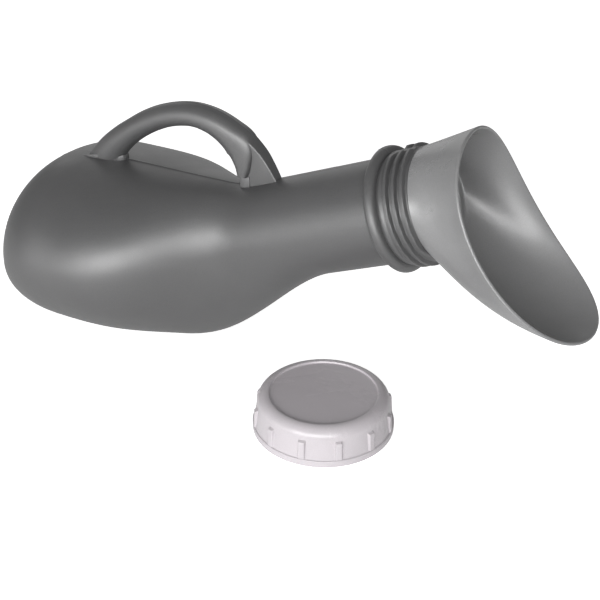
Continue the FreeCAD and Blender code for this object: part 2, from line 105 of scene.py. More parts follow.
# outside of the bottle: stations along X, heights and radii
TAIL_X = SHELL_LOW[0]
HALF_WIDTH = SHELL_HIGH[1]
TAIL_HEIGHT = 32.0
WIDEST_X = -33.0
MID_HEIGHT = 42.5
TOP_HEIGHT = 88.0
TOP_TURN = 2.5
BASE_SINK = 2.2
BASE_ROUND = 2.2
RISE_START = 27.0
RISE_END = 109.0
WAIST_X = 58.0
WAIST_END = 66.0
WAIST_LATENESS = 1.36
WALL = 2.0
# how full its curves are: 2 is an ellipse, and more is squarer
TAIL_PLAN = 2.4
TAIL_TOP = 2.5
TAIL_UNDER = 2.3
TOP_FULLNESS = 2.13
# the mould's parting line, which stands out more between the handle's roots
SEAM_HALF = 0.8
SEAM_RISE = 0.1
SEAM_MORE = 0.3
SEAM_MORE_FROM = -24.0
SEAM_MORE_TO = 60.0
# neck and its finish, as distances back from the lip
NECK_RADIUS = 25.3
NECK_LENGTH = 50.0
NECK_WALL = 3.0
BORE_RADIUS = 23.1
BORE_DEPTH = 24.0
FINISH_RADIUS = 26.6
LIP_ROUND = 0.8
BEAD_RADIUS = 30.1
BEAD_BACK = 19.2
BEAD_HALF = 3.3
SWELL_RISE = 0.35
SWELL_BACK = 14.6
SWELL_HALF = 1.6
THREAD_RADIUS = 28.5
THREAD_LEAD = 4.3
THREAD_ZERO = -1.3
THREAD_TURNS = (0.62, 3.02)
THREAD_FADE = 0.07
THREAD_HALF = 1.45
THREAD_FLANK = 0.62
# the thread's break at the parting line, with the low ridge that fills it
BREAK_HALF = 1.2
BREAK_EASE = 2.2
BREAK_RISE = 0.75
BREAK_END = 14.0
# scoop adapter
SEAT_GAP = 0.1
SHOULDER_RADIUS = 26.6
SCOOP_WALL = 1.6
SCOOP_FLOOR = 2.0
THROAT_RADIUS = 19.3
SPIGOT_RADIUS = 21.2
SPIGOT_LENGTH = 20.0
SPIGOT_RIB_RADIUS = 23.05
SPIGOT_RIB_BACKS = (3.6, 9.6, 15.6)
SPIGOT_RIB_HALF = 1.6
SPIGOT_RIB_FLANK = 0.9
RIM_TILT = 37.2
RIM_LENGTH = 107.8
RIM_HALF_WIDTH = 41.3
RIM_BOW = 11.5
RIM_TOP_AHEAD = 14.9
RIM_TOP_ABOVE = 38.5
RIM_SKEW = 0.02
RIM_SQUARE = 0.1
FOOT_BULGE = 7.2
SIDE_HOLLOW = 5.5
# screw cap
CAP_TURN = 10.1
CAP_RADIUS = 33.0
CAP_TOP_RADIUS = 31.6
CAP_ROUND = 5.2
CAP_RECESS_RADIUS = 25.8
CAP_RECESS = 0.9
CAP_BORE_RADIUS = 29.2
CAP_TOP = 2.1
CAP_FOOT_RADIUS = 33.8
CAP_FOOT_HEIGHT = 3.4
CAP_RIBS = 12
CAP_RIB_HALF = 1.6
CAP_RIB_HEIGHT = 13.0
CAP_RIB_SLOPE = 0.075
CAP_THREAD_RISE = 1.6
CAP_THREAD_HALF = 1.3
CAP_THREAD_ZERO = 2.6
CAP_THREAD_TURNS = (-0.05, 1.8)
CAP_KEEPER_RADIUS = 28.6


def ease(share):
    share = np.clip(share, 0.0, 1.0)
    return share * share * (3 - 2 * share)


def smooth_step(share):
    """A step that is level and straight at both ends."""
    return share**3 * (share * (share * 6 - 15) + 10)


def dome(share, fullness):
    return (1 - share**fullness) ** (1 / fullness)


def hermite(share, low, high, end_slope):
    """A cubic from low, where it is level, to high, with its slope there times the length of the span."""
    square, cube = share**2, share**3
    return low + (high - low) * (3 * square - 2 * cube) + end_slope * (cube - square)


def unit(vectors):
    return vectors / np.linalg.norm(vectors, axis=-1, keepdims=True)


# ---- meshes ------------------------------------------------------------------------------------------------


def mesh_object(name, points, faces):
    """A smooth-shaded object from points in millimetres."""
    mesh = bpy.data.meshes.new(name)
    mesh.from_pydata((np.asarray(points) * MM).tolist(), [], faces)
    mesh.validate()
    thing = bpy.data.objects.new(name, mesh)
    bpy.context.scene.collection.objects.link(thing)
    work = bmesh.new()
    work.from_mesh(mesh)
    bmesh.ops.recalc_face_normals(work, faces=work.faces)
    work.to_mesh(mesh)
    work.free()
    for face in mesh.polygons:
        face.use_smooth = True
    return thing


def skin_rings(name, rings, ends="poles"):
    """Skins closed rings of points. The ends are closed at a middle point each, or joined to each other."""
    rings = np.asarray(rings, float)
    count, around = rings.shape[:2]
    points = rings.reshape(-1, 3)
    following = (np.arange(around) + 1) % around
    faces = []
    last = count if ends == "joined" else count - 1
    for row in range(last):
        first = row * around
        second = ((row + 1) % count) * around
        for here, there in enumerate(following):
            faces.append((first + here, first + int(there), second + int(there), second + here))
    if ends == "poles":
        points = np.vstack([points, rings[0].mean(0), rings[-1].mean(0)])
        start, end = count * around, count * around + 1
        base = (count - 1) * around
        for here, there in enumerate(following):
            faces.append((start, int(there), here))
            faces.append((end, base + here, base + int(there)))
    return mesh_object(name, points, faces)


def ring_normals(rings):
    """Outward unit normals of a grid of rings."""
    across = np.roll(rings, -1, axis=1) - np.roll(rings, 1, axis=1)
    along = np.gradient(rings, axis=0)
    normals = np.cross(across, along)
    outward = rings - rings.mean(axis=1, keepdims=True)
    flip = np.sign((normals * outward).sum(-1).sum(1))
    return unit(normals * np.where(flip == 0, 1, flip)[:, None, None])


def seam_angles(count):
    """Angles round a ring from its top towards +Y, closer together at the parting line at top and bottom."""
    near = np.radians([0.0, 0.35, 0.7, 1.1, 1.6, 2.3, 3.4])
    free = math.radians(5.0)
    side = np.linspace(free, math.pi - free, count)
    half = np.concatenate([near, side, math.pi - near[::-1]])
    return np.concatenate([half, 2 * math.pi - half[-2:0:-1]])


def combine(target, others, operation):
    """Joins or subtracts whole solids, and bakes the result into the target's mesh."""
    for other in others:
        modifier = target.modifiers.new(operation.lower(), "BOOLEAN")
        modifier.operation = operation
        modifier.solver = "EXACT"
        modifier.object = other
    graph = bpy.context.evaluated_depsgraph_get()
    mesh = bpy.data.meshes.new_from_object(target.evaluated_get(graph))
    target.modifiers.clear()
    target.data = mesh
    for other in others:
        bpy.data.objects.remove(other)


def soften(thing, angle):
    """Smooth shading with crisp edges where the surface turns by more than the angle."""
    for face in thing.data.polygons:
        face.use_smooth = True
    thing.data.set_sharp_from_angle(angle=math.radians(angle))


# ---- bottle ------------------------------------------------------------------------------------------------


def axis_height(x):
    return LIP[2] + (x - LIP[0]) * NECK_SLOPE


class Skin:
    """The bottle's outside, or with an inset the hollow's wall, as rings of points over the station x."""

    def __init__(self, inset, neck_radius, floor):
        self.tail_x = TAIL_X + inset
        self.half_width = HALF_WIDTH - inset
        self.top_height = TOP_HEIGHT - inset
        self.neck_radius = neck_radius
        self.neck_reach = neck_radius / math.cos(math.radians(NECK_TILT))
        self.floor = floor

    def tail_share(self, x):
        return min(max((WIDEST_X - x) / (WIDEST_X - self.tail_x), 0), 1)

    def middle(self, x):
        """The height of the widest line, which bends up from the body into the neck's axis."""
        if x < WIDEST_X:
            return MID_HEIGHT + (TAIL_HEIGHT - MID_HEIGHT) * self.tail_share(x) ** 2
        if x > WAIST_X:
            return axis_height(x)
        span = WAIST_X - WIDEST_X
        return hermite((x - WIDEST_X) / span, MID_HEIGHT, axis_height(WAIST_X), NECK_SLOPE * span)

    def top(self, x):
        neck_top = axis_height(x) + self.neck_reach
        line = (self.top_height + neck_top + math.hypot(self.top_height - neck_top, TOP_TURN)) / 2
        middle = self.middle(x)
        return middle + (line - middle) * dome(self.tail_share(x), TAIL_TOP)

    def bottom(self, x):
        if x > RISE_END:
            return axis_height(x) - self.neck_reach
        span = RISE_END - RISE_START
        share = max((x - RISE_START) / span, 0)
        line = hermite(share, self.floor, axis_height(RISE_END) - self.neck_reach, NECK_SLOPE * span)
        middle = self.middle(x)
        return middle - (middle - line) * dome(self.tail_share(x), TAIL_UNDER)

    def side(self, x):
        if x < WIDEST_X:
            return self.half_width * dome(self.tail_share(x), TAIL_PLAN)
        share = min((x - WIDEST_X) / (WAIST_END - WIDEST_X), 1)
        narrowing = (self.neck_radius - self.half_width) * smooth_step(share**WAIST_LATENESS)
        return self.half_width + narrowing

    def ring(self, x, angles):
        """The oval ring whose plane crosses the side at x, leaning over as the neck begins."""
        tilt = math.radians(NECK_TILT) * float(ease((x - RISE_START) / (RISE_END - RISE_START)))
        lean, rise = math.sin(tilt), math.cos(tilt)
        pivot = self.middle(x)
        above = below = 0.0
        for _ in range(30):  # the heights settle on where the leaning plane meets the top and the bottom
            above = (self.top(x - above * lean) - pivot) / rise
            below = (pivot - self.bottom(x + below * lean)) / rise
        up = np.array([-lean, 0, rise])
        fullness = 2 + (TOP_FULLNESS - 2) * float(1 - ease((x - WIDEST_X) / (WAIST_X - WIDEST_X)))
        return oval(np.array([x, 0, pivot]), up, self.side(x), above, below, angles, fullness)

    def rings(self, angles, tail_count, front_count):
        turn = np.linspace(0, math.pi / 2, tail_count + 1)[:-1]
        turn[0] = turn[1] * 0.12
        stations = list(WIDEST_X - (WIDEST_X - self.tail_x) * np.cos(turn))
        end = (LIP - NECK_AXIS * NECK_LENGTH)[0]
        stations += list(np.linspace(WIDEST_X, end, front_count))
        return [self.ring(x, angles) for x in stations]


def oval(centre, up, half_width, above, below, angles, fullness):
    """A ring of points: a half ellipse below and a fuller one above that meet at the sides."""
    lift, reach = np.cos(angles), np.sin(angles)
    upper = above * np.abs(lift) ** (2 / fullness)
    wide = np.where(lift > 0, np.sign(reach) * np.abs(reach) ** (2 / fullness), reach)
    height = np.where(lift > 0, upper, below * lift)
    return centre + np.outer(half_width * wide, Y_AXIS) + np.outer(height, up)


def neck_ring(back, radius, angles):
    """A circle, or with an array of radii a wavy ring, across the neck axis."""
    arm = np.outer(np.cos(angles), NECK_UP) + np.outer(np.sin(angles), Y_AXIS)
    return LIP - NECK_AXIS * back + arm * np.broadcast_to(radius, angles.shape)[:, None]


def finish_radius(back):
    """Radius of the neck's end without its thread: neck, bead, a slight swelling, and the rounded lip."""
    base = NECK_RADIUS if back > BEAD_BACK else FINISH_RADIUS
    swell = SWELL_RISE * max(0.0, 1 - ((back - SWELL_BACK) / SWELL_HALF) ** 2) ** 2
    off = abs(back - BEAD_BACK) / BEAD_HALF
    if off < 1:
        return base + (BEAD_RADIUS - base) * (1 - off**2.3) ** (1 / 1.9)
    if back < LIP_ROUND:
        return base - LIP_ROUND + math.sqrt(max(LIP_ROUND**2 - (LIP_ROUND - back) ** 2, 0))
    return base + swell


def thread_rise(back, angles):
    """Height of the thread's ridge above the finish at a distance back from the lip, for each angle."""
    rise = np.zeros_like(angles)
    for winding in range(4):
        turns = angles / (2 * math.pi) + winding
        off = np.abs(back - (THREAD_ZERO + THREAD_LEAD * turns)) / THREAD_HALF
        ridge = ease((1 - off) / THREAD_FLANK)
        fade = ease((turns - THREAD_TURNS[0]) / THREAD_FADE) * ease((THREAD_TURNS[1] - turns) / THREAD_FADE)
        rise = np.maximum(rise, (THREAD_RADIUS - FINISH_RADIUS) * ridge * fade)
    off_seam = np.abs(np.sin(angles)) * FINISH_RADIUS
    kept = ease((off_seam - BREAK_HALF) / BREAK_EASE)
    filled = BREAK_RISE * ease((back - LIP_ROUND) / 0.8) * ease((BREAK_END - back) / 1.5)
    return rise * kept + filled * (1 - kept)


def seam_ridge(rings):
    """Raises the mould's parting line, most between the handle's roots."""
    rings = rings.copy()
    normals = ring_normals(rings)
    x = rings[:, :, 0]
    above = rings[:, :, 2] > rings[:, :, 2].mean(axis=1, keepdims=True)
    between = ease((x - SEAM_MORE_FROM) / 6) * ease((SEAM_MORE_TO - x) / 4) * above
    height = SEAM_RISE + SEAM_MORE * between
    ridge = height * ease(1 - np.abs(rings[:, :, 1]) / SEAM_HALF)
    return rings + normals * ridge[:, :, None]


def soft_floor(rings):
    """Presses everything below the ground up to it, with a rounded turn at the flat's edge."""
    rings = rings.copy()
    z = rings[:, :, 2]
    turned = np.where(z < -BASE_ROUND, 0, (z + BASE_ROUND) ** 2 / (4 * BASE_ROUND))
    rings[:, :, 2] = np.where(z < BASE_ROUND, turned, z)
    return rings


def bottle_outside():
    angles = seam_angles(66)
    rings = Skin(0, NECK_RADIUS, -BASE_SINK).rings(angles, tail_count=54, front_count=84)
    bead_turn = np.linspace(-math.pi / 2, math.pi / 2, 25)
    backs = list(np.linspace(NECK_LENGTH, BEAD_BACK + BEAD_HALF + 0.5, 14)[1:])
    backs += list(BEAD_BACK - BEAD_HALF * np.sin(bead_turn))
    backs += list(np.arange(BEAD_BACK - BEAD_HALF - 0.3, LIP_ROUND, -0.22))
    backs += [LIP_ROUND * share for share in (1, 0.7, 0.45, 0.25, 0.1, 0.0)]
    for back in backs:
        rings.append(neck_ring(back, finish_radius(back) + thread_rise(back, angles), angles))
    for radius in (25.2, 24.0, 16.0, 6.0):  # closes the end, which the bore is then cut through
        rings.append(neck_ring(0, radius, angles))
    rings = soft_floor(seam_ridge(np.array(rings)))
    return skin_rings("bottle_shell_skin", rings)


def bottle_inside():
    angles = np.linspace(0, 2 * math.pi, 73)[:-1]
    neck_inside = NECK_RADIUS - NECK_WALL
    ahead = -2.0
    rings = Skin(WALL, neck_inside, WALL).rings(angles, tail_count=26, front_count=40)
    profile = [(back, neck_inside) for back in np.linspace(NECK_LENGTH, BORE_DEPTH, 8)[1:]]
    profile += [(BORE_DEPTH - 0.8, BORE_RADIUS), (12, BORE_RADIUS), (0.8, BORE_RADIUS),
                (0.4, BORE_RADIUS + 0.12), (0, BORE_RADIUS + 0.5), (ahead, BORE_RADIUS + 0.5),
                (ahead, 15.0), (ahead, 5.0)]
    rings += [neck_ring(back, radius, angles) for back, radius in profile]
    return skin_rings("hollow", np.array(rings))


# The handle's tube along its centre line: x and z, then its section's half depth, half breadth and fullness.
HANDLE = (
    (-37.5, 79.0, 9.0, 6.8, 2.15),
    (-29.3, 90.0, 8.1, 6.5, 2.15),
    (-20.7, 98.9, 6.9, 6.5, 2.15),
    (-11.7, 106.0, 6.1, 6.7, 2.15),
    (-2.0, 112.2, 6.0, 6.9, 2.15),
    (8.2, 117.0, 6.0, 7.0, 2.15),
    (18.5, 120.0, 6.0, 7.0, 2.15),
    (28.3, 121.0, 6.1, 7.0, 2.15),
    (38.4, 119.3, 6.6, 7.0, 2.2),
    (47.3, 115.2, 7.4, 6.9, 2.4),
    (54.2, 109.5, 8.3, 6.6, 3.0),
    (56.2, 101.6, 5.2, 6.3, 3.4),
    (56.0, 95.0, 2.9, 6.0, 3.4),
)
HANDLE_SEAM_HALF = 0.7
HANDLE_SEAM_RISE = 0.18
# The fin that fills the handle's front corner: its outer edge, the corners buried behind it, its half
# thickness, and how much that grows per millimetre above a height.
FIN_EDGE = ((45.0, 119.3), (51.3, 119.6), (59.4, 114.8), (66.2, 108.8), (70.5, 103.1), (74.5, 96.5),
            (77.8, 89.5))
FIN_BACK = ((72.0, 84.0), (57.0, 84.0), (57.0, 104.0), (45.0, 113.0))
FIN_HALF = 3.0
FIN_DRAFT = 0.085
FIN_DRAFT_FROM = 96.0
# The small block that the fin and the handle's front leg stand on.
FOOT_OUTLINE = ((54.0, 84.0), (60.0, 84.0), (60.0, 95.2), (54.4, 95.2))
FOOT_HALF = 3.9
# The collar under the handle's rear root: station x, half breadth and the height of its top.
COLLAR = ((-50.0, 2.5, 85.5), (-46.5, 5.2, 86.9), (-41.5, 6.8, 88.2), (-36.0, 6.8, 89.7),
          (-30.0, 6.0, 90.8), (-25.0, 5.2, 91.1), (-21.5, 4.2, 91.1), (-19.0, 2.6, 91.0), (-18.0, 0.9, 90.8))
COLLAR_BASE = 78.0
# Its rounded upper edge, as steps inwards and the drop below the top at each.
COLLAR_EDGE = ((0, 1.2), (0.12, 0.55), (0.45, 0.15), (1.0, 0), (3.0, 0))


def smooth_line(points, per_span):
    """A Catmull-Rom curve through rows of numbers."""
    rows = np.array(points, float)
    padded = np.vstack([2 * rows[0] - rows[1], rows, 2 * rows[-1] - rows[-2]])
    result = []
    for index in range(len(rows) - 1):
        before, start, end, after = padded[index:index + 4]
        for share in np.linspace(0, 1, per_span, endpoint=False):
            result.append(0.5 * (2 * start + (end - before) * share
                                 + (2 * before - 5 * start + 4 * end - after) * share**2
                                 + (3 * start - before - 3 * end + after) * share**3))
    result.append(rows[-1])
    return np.array(result)


def handle_tube():
    line = smooth_line(HANDLE, 7)
    tangent = unit(np.gradient(line[:, :2], axis=0))
    angles = seam_angles(22)
    rings = []
    for (x, z, depth, breadth, fullness), (forward, climb) in zip(line, tangent):
        outward = np.array([-climb, 0, forward])
        lift, reach = np.cos(angles), np.sin(angles)
        power = 2 / fullness
        across = breadth * np.sign(reach) * np.abs(reach) ** power
        height = depth * np.sign(lift) * np.abs(lift) ** power
        height += np.sign(lift) * HANDLE_SEAM_RISE * ease(1 - np.abs(across) / HANDLE_SEAM_HALF)
        rings.append(np.array([x, 0, z]) + np.outer(across, Y_AXIS) + np.outer(height, outward))
    return skin_rings("handle", np.array(rings))


def plate(name, outline, half_breadths, edge_round):
    """A plate across the symmetry plane with rounded edges; each corner has its own half breadth."""
    corners = np.array(outline, float)
    count = len(corners)
    points = []
    for side in (-1, 1):
        for (x, z), half in zip(corners, half_breadths):
            points.append((x, side * half, z))
    faces = [tuple(range(count))[::-1], tuple(range(count, 2 * count))]
    for index in range(count):
        following = (index + 1) % count
        faces.append((index, following, count + following, count + index))
    thing = mesh_object(name, points, faces)
    work = bmesh.new()
    work.from_mesh(thing.data)
    sides = [edge for edge in work.edges if edge.verts[0].co.y * edge.verts[1].co.y > 0]
    bmesh.ops.bevel(work, geom=sides, offset=edge_round * MM, segments=3, profile=0.5, affect="EDGES")
    work.to_mesh(thing.data)
    work.free()
    return thing


def fin():
    edge = smooth_line(FIN_EDGE, 4)
    outline = [tuple(point) for point in edge] + list(FIN_BACK)
    halves = [FIN_HALF + FIN_DRAFT * max(z - FIN_DRAFT_FROM, 0) for _, z in outline]
    return plate("fin", outline, halves, edge_round=0.7)


def collar():
    """The raised collar that the handle's rear root stands on, with a rounded upper edge."""
    half = smooth_line(COLLAR, 5)
    rows = np.vstack([half, (half * np.array([1, -1, 1]))[::-1]])
    middle = np.array([rows[:, 0].mean(), 0, 0])
    rings = [np.stack([rows[:, 0], rows[:, 1], np.full(len(rows), COLLAR_BASE)], 1)]
    for inward, drop in COLLAR_EDGE:
        ring = rows - np.array([0, 0, drop])
        toward = middle - ring
        toward[:, 2] = 0
        rings.append(ring + unit(toward) * inward)
    return skin_rings("collar", np.array(rings))


def bottle():
    shell = bottle_outside()
    foot = plate("foot", FOOT_OUTLINE, [FOOT_HALF] * len(FOOT_OUTLINE), edge_round=0.5)
    combine(shell, [handle_tube(), fin(), foot, collar()], "UNION")
    combine(shell, [bottle_inside()], "DIFFERENCE")
    soften(shell, angle=34)
    return shell


# ---- scoop adapter -----------------------------------------------------------------------------------------


def rim_curve(angles):
    """The scoop's rim, saddle-bowed back at its sides: angle 0 is its top and pi its foot."""
    lean = math.radians(RIM_TILT)
    top = LIP + np.array([RIM_TOP_AHEAD, 0, RIM_TOP_ABOVE])
    down = np.array([math.sin(lean), 0, -math.cos(lean)])
    out = np.array([math.cos(lean), 0, math.sin(lean)])
    share = (1 - np.cos(angles)) / 2
    across = np.sin(angles) * (1 + RIM_SKEW * np.cos(angles) + RIM_SQUARE * np.cos(2 * angles))
    back = 4 * RIM_BOW * share * (1 - share)
    return (top + np.outer(RIM_LENGTH * share, down) - np.outer(back, out)
            + np.outer(RIM_HALF_WIDTH * across, Y_AXIS))


def scoop_wall(start, end, bulge, steps):
    """Rings of a wall from one ring to another, bulged outwards halfway by the given distances."""
    radial = unit(start - start.mean(0))
    chord = unit(end - start)
    normal = unit(radial - chord * (radial * chord).sum(1, keepdims=True))
    bend = (start + end) / 2 + normal * bulge[:, None] * 2
    rings = []
    for share in steps:
        rings.append((1 - share) ** 2 * start + 2 * share * (1 - share) * bend + share**2 * end)
    return rings, normal, unit(end - bend)


def floor_and_spigot():
    """The adapter's skin from its floor down the throat, and outside back up over the spigot's ribs.

    Each step is a distance back from the lip and a radius.
    """
    floor_back = -SEAT_GAP - SCOOP_FLOOR
    floor_edge = SHOULDER_RADIUS - SCOOP_WALL - 1.3
    groove_back = floor_back - 0.55
    profile = [(floor_back - 0.3, floor_edge + 0.7), (floor_back, floor_edge)]
    profile += [(floor_back, radius) for radius in np.linspace(floor_edge - 1, THROAT_RADIUS + 1.6, 5)]
    profile += [(groove_back, THROAT_RADIUS + 1.1), (groove_back, THROAT_RADIUS + 0.5),
                (floor_back - 0.3, THROAT_RADIUS + 0.1), (floor_back + 0.2, THROAT_RADIUS)]
    profile += [(back, THROAT_RADIUS) for back in np.linspace(1, SPIGOT_LENGTH - 0.8, 10)]
    profile += [(SPIGOT_LENGTH - 0.2, THROAT_RADIUS + 0.3), (SPIGOT_LENGTH, THROAT_RADIUS + 0.8),
                (SPIGOT_LENGTH, SPIGOT_RADIUS - 0.8), (SPIGOT_LENGTH - 0.3, SPIGOT_RADIUS - 0.2)]
    for back in np.arange(SPIGOT_LENGTH - 0.8, 0.4, -0.3):
        off = min(abs(back - rib) for rib in SPIGOT_RIB_BACKS)
        share = float(ease((SPIGOT_RIB_HALF - off) / SPIGOT_RIB_FLANK))
        profile.append((back, SPIGOT_RADIUS + (SPIGOT_RIB_RADIUS - SPIGOT_RADIUS) * share))
    return profile + [(-SEAT_GAP, SPIGOT_RADIUS + 0.2), (-SEAT_GAP, 24.0), (-SEAT_GAP, SHOULDER_RADIUS - 0.5)]


def adapter():
    angles = np.linspace(0, 2 * math.pi, 193)[:-1]
    bulge = FOOT_BULGE * (1 - np.cos(angles)) / 2 - SIDE_HOLLOW * np.sin(angles) ** 2
    half_wall = SCOOP_WALL / 2
    shoulder = neck_ring(-SEAT_GAP, SHOULDER_RADIUS, angles)
    rim = rim_curve(angles)
    _, normal, tip = scoop_wall(shoulder, rim, bulge, [1.0])
    outer_end = rim - tip * half_wall
    across = unit(np.cross(np.roll(rim, -1, 0) - np.roll(rim, 1, 0), tip))
    across *= np.sign((across * normal).sum(1, keepdims=True))
    steps = np.linspace(0, 1, 44)
    rings, _, _ = scoop_wall(shoulder, outer_end, bulge, steps)
    for turn in np.radians([22, 45, 67, 90, 113, 135, 158]):
        rings.append(outer_end - across * half_wall * (1 - math.cos(turn)) + tip * half_wall * math.sin(turn))
    inner_start = neck_ring(-SEAT_GAP - SCOOP_FLOOR - 1.0, SHOULDER_RADIUS - SCOOP_WALL - 0.3, angles)
    inner, _, _ = scoop_wall(inner_start, outer_end - across * SCOOP_WALL, bulge, steps[::-1])
    rings += inner
    rings += [neck_ring(back, radius, angles) for back, radius in floor_and_spigot()]
    thing = skin_rings("funnel_adapter_skin", np.array(rings), "joined")
    soften(thing, angle=50)
    return thing


# ---- screw cap and sealing disc ----------------------------------------------------------------------------


def cap_angles():
    """Angles round the cap, closer together at the grip ribs' edges."""
    step = 2 * math.pi / CAP_RIBS
    edge = np.array([0.55, 0.8, 0.9, 1.0, 1.1, 1.2, 1.45]) * CAP_RIB_HALF / CAP_RADIUS
    half = np.concatenate([[0.0], edge, np.linspace(edge[-1], step / 2, 6)[1:]])
    one = np.concatenate([-half[-2:0:-1], half])
    return np.concatenate([one + step * rib for rib in range(CAP_RIBS)])


def cap_rib_rise(height, angles):
    """How far the grip ribs stand out at a height, for each angle."""
    step = 2 * math.pi / CAP_RIBS
    off = np.abs((angles + step / 2) % step - step / 2) * CAP_RADIUS
    side = ease((CAP_RIB_HALF * 1.18 - off) / (CAP_RIB_HALF * 0.36))
    ending = ease((CAP_RIB_HEIGHT - height) / 0.9)
    reach = CAP_FOOT_RADIUS - 0.1 - CAP_RADIUS + (height - CAP_FOOT_HEIGHT) * CAP_RIB_SLOPE
    return reach * side * ending


def cap_thread_rise(height, angles):
    """How far the cap's thread stands into its bore at a height, for each angle."""
    rise = np.zeros_like(angles)
    first, last = CAP_THREAD_TURNS
    for winding in range(-1, 4):
        turns = angles / (2 * math.pi) + winding
        off = np.abs(height - (CAP_THREAD_ZERO + THREAD_LEAD * turns)) / CAP_THREAD_HALF
        fade = ease((turns - first) / THREAD_FADE) * ease((last - turns) / THREAD_FADE)
        rise = np.maximum(rise, CAP_THREAD_RISE * ease((1 - off) / 0.6) * fade)
    return rise


def upright_ring(height, radius, angles):
    """A circle, or with an array of radii a wavy ring, round the cap's axis at a height above the ground."""
    radius = np.broadcast_to(radius, angles.shape)
    spot = CAP_SPOT + np.array([0, 0, height])
    return spot + np.stack([radius * np.cos(angles), radius * np.sin(angles), radius * 0], 1)


def cap_profile(angles):
    """The cap's skin as heights and radii: its top, its ribbed side, its foot, its bore and its ceiling."""
    tall = CAP_HIGH[2]
    disc = tall - CAP_RECESS
    edge, foot, bore = CAP_RECESS_RADIUS, CAP_FOOT_RADIUS, CAP_BORE_RADIUS
    profile = [(disc, radius) for radius in (1.0, 6, 12, 18, 22, 24.6)]
    profile += [(disc, edge - 0.6), (disc + 0.06, edge - 0.3), (disc + 0.25, edge - 0.12),
                (tall - 0.3, edge - 0.05), (tall - 0.08, edge + 0.05), (tall, edge + 0.3), (tall, edge + 0.7)]
    corner = CAP_TOP_RADIUS - CAP_ROUND
    for turn in np.radians(np.linspace(4, 84, 15)):
        profile.append((tall - CAP_ROUND * (1 - math.cos(turn)), corner + CAP_ROUND * math.sin(turn) + 0.02))
    taper = (CAP_RADIUS - CAP_TOP_RADIUS) / (tall - CAP_ROUND - CAP_FOOT_HEIGHT)
    rib_tops = np.arange(CAP_RIB_HEIGHT + 0.2, 11.6, -0.15)
    for height in np.concatenate([rib_tops, np.linspace(11.4, CAP_FOOT_HEIGHT + 0.25, 12)]):
        side = CAP_RADIUS - taper * (height - CAP_FOOT_HEIGHT)
        profile.append((height, side + cap_rib_rise(height, angles)))
    step = CAP_FOOT_HEIGHT
    profile += [(step + 0.1, CAP_RADIUS + 0.06), (step, CAP_RADIUS + 0.2), (step, foot - 0.3),
                (step - 0.08, foot - 0.12), (step - 0.3, foot), (2.0, foot), (0.5, foot), (0.15, foot - 0.1),
                (0, foot - 0.4), (0, bore + 2.3), (0, bore + 1.0), (0.2, bore + 0.4), (0.8, bore)]
    for height in np.arange(1.1, 12.2, 0.25):
        profile.append((height, bore - cap_thread_rise(height, angles)))
    seat = LINER_LOW[2] - 0.05
    profile += [(seat - 1.2, bore), (seat - 0.8, CAP_KEEPER_RADIUS + 0.2), (seat - 0.6, CAP_KEEPER_RADIUS),
                (seat - 0.4, CAP_KEEPER_RADIUS + 0.2), (seat, bore)]
    ceiling = disc - CAP_TOP
    profile += [(ceiling - 0.3, bore), (ceiling, bore - 0.3), (ceiling, 20), (ceiling, 10), (ceiling, 2)]
    return profile


def cap():
    plain = cap_angles()
    turned = plain + math.radians(CAP_TURN)
    rings = [upright_ring(height, radius, turned) for height, radius in cap_profile(plain)]
    thing = skin_rings("screw_cap_skin", np.array(rings))
    soften(thing, angle=42)
    return thing


def liner():
    """The sealing disc: a foam wad with a rolled edge and a shallow ring pressed in by the lip."""
    angles = np.linspace(0, 2 * math.pi, 97)[:-1]
    low, high = LINER_LOW[2], LINER_HIGH[2]
    edge = (LINER_HIGH[0] - LINER_LOW[0]) / 2
    profile = [(low, 2), (low, 12), (low, 21), (low, 22.6), (low + 0.12, 23.2), (low + 0.18, 24.3),
               (low + 0.12, 25.6), (low, 26.3), (low, edge - 0.6), (low + 0.12, edge - 0.2),
               (low + 0.4, edge), (high - 0.4, edge), (high - 0.12, edge - 0.2), (high, edge - 0.6),
               (high, 20), (high, 10), (high, 2)]
    thing = skin_rings("cap_liner_skin", [upright_ring(height, radius, angles) for height, radius in profile])
    soften(thing, angle=40)
    return thing


# ---- materials ---------------------------------------------------------------------------------------------


class Nodes:
    """A short way to write the node tree of a material or a world.

    add makes a node and sets its inputs, by name or as i and their number, and gives back one output.
    """

    def __init__(self, owner):
        owner.use_nodes = True
        self.tree = owner.node_tree
        self.tree.nodes.clear()

    def add(self, kind, output=0, settings=None, **inputs):
        node = self.tree.nodes.new(f"ShaderNode{kind}")
        for key, value in (settings or {}).items():
            setattr(node, key, value)
        for key, value in inputs.items():
            numbered = key[0] == "i" and key[1:].isdigit()
            slot = node.inputs[int(key[1:]) if numbered else key.replace("_", " ")]
            if isinstance(value, bpy.types.NodeSocket):
                self.tree.links.new(value, slot)
            else:
                slot.default_value = value
        return node.outputs[output] if len(node.outputs) else None

    def ramp(self, value, stops):
        node = self.tree.nodes.new("ShaderNodeValToRGB")
        elements = node.color_ramp.elements
        while len(elements) < len(stops):
            elements.new(0.5)
        for element, (place, level) in zip(elements, stops):
            element.position = place
            element.color = (level, level, level, 1)
        self.tree.links.new(value, node.inputs[0])
        return node.outputs[0]

    def math(self, operation, first, second):
        return self.add("Math", settings={"operation": operation}, i0=first, i1=second)

    def mix(self, share, first, second):
        return self.add("Mix", output=2, settings={"data_type": "RGBA"}, i0=share, i6=first, i7=second)


WAVE_HEIGHT = 0.00022


